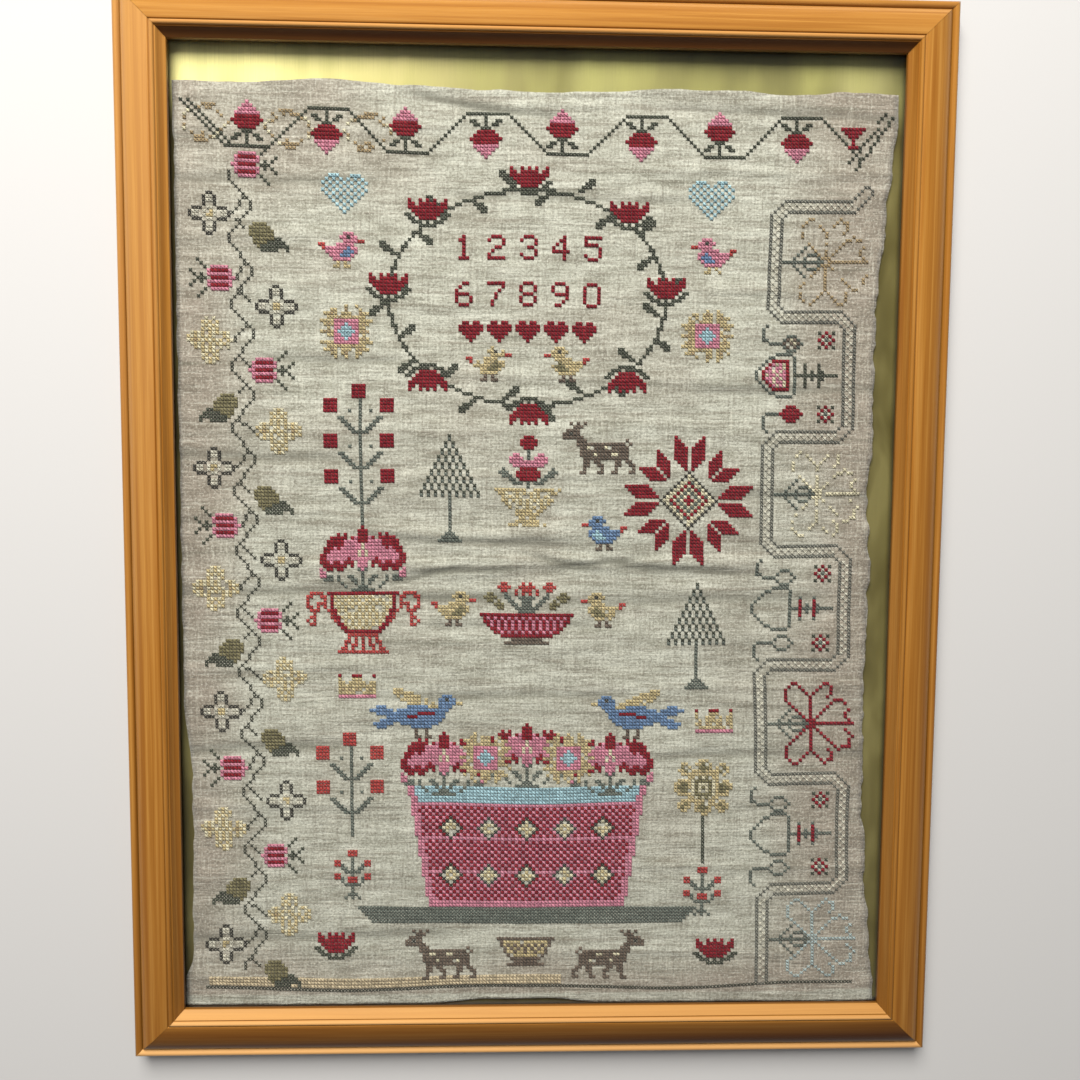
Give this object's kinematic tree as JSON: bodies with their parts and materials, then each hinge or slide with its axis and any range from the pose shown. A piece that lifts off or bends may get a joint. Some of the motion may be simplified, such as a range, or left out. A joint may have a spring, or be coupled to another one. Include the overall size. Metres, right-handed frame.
{
  "type": "framed cross stitch sampler",
  "caption": "Old cross stitch sampler on rumpled linen, laid on olive satin under glass in a mitred honey-coloured wood frame, lying on its back.",
  "frame": {"origin": "under the middle of the frame, on the surface that the rails' backs lie on", "axes": "+Z out of the picture's face, +Y to the picture's top, +X to its right"},
  "size_m": [0.453, 0.588, 0.0202],
  "materials": {
    "frame_wood": "honey stain under satin varnish, grain along each rail",
    "pane": "clear polished picture glass",
    "linen": "aged unbleached linen with dyed wool and cotton cross stitch",
    "satin": "olive satin with a soft sheen",
    "board": "plain brown hardboard"
  },
  "bodies": {
    "root": {"frame_rail_top": "frame_wood", "frame_rail_bottom": "frame_wood", "frame_rail_left": "frame_wood", "frame_rail_right": "frame_wood", "glass_pane": "pane", "sampler_cloth": "linen", "silk_backing": "satin", "backboard": "board"}
  },
  "joints": []
}
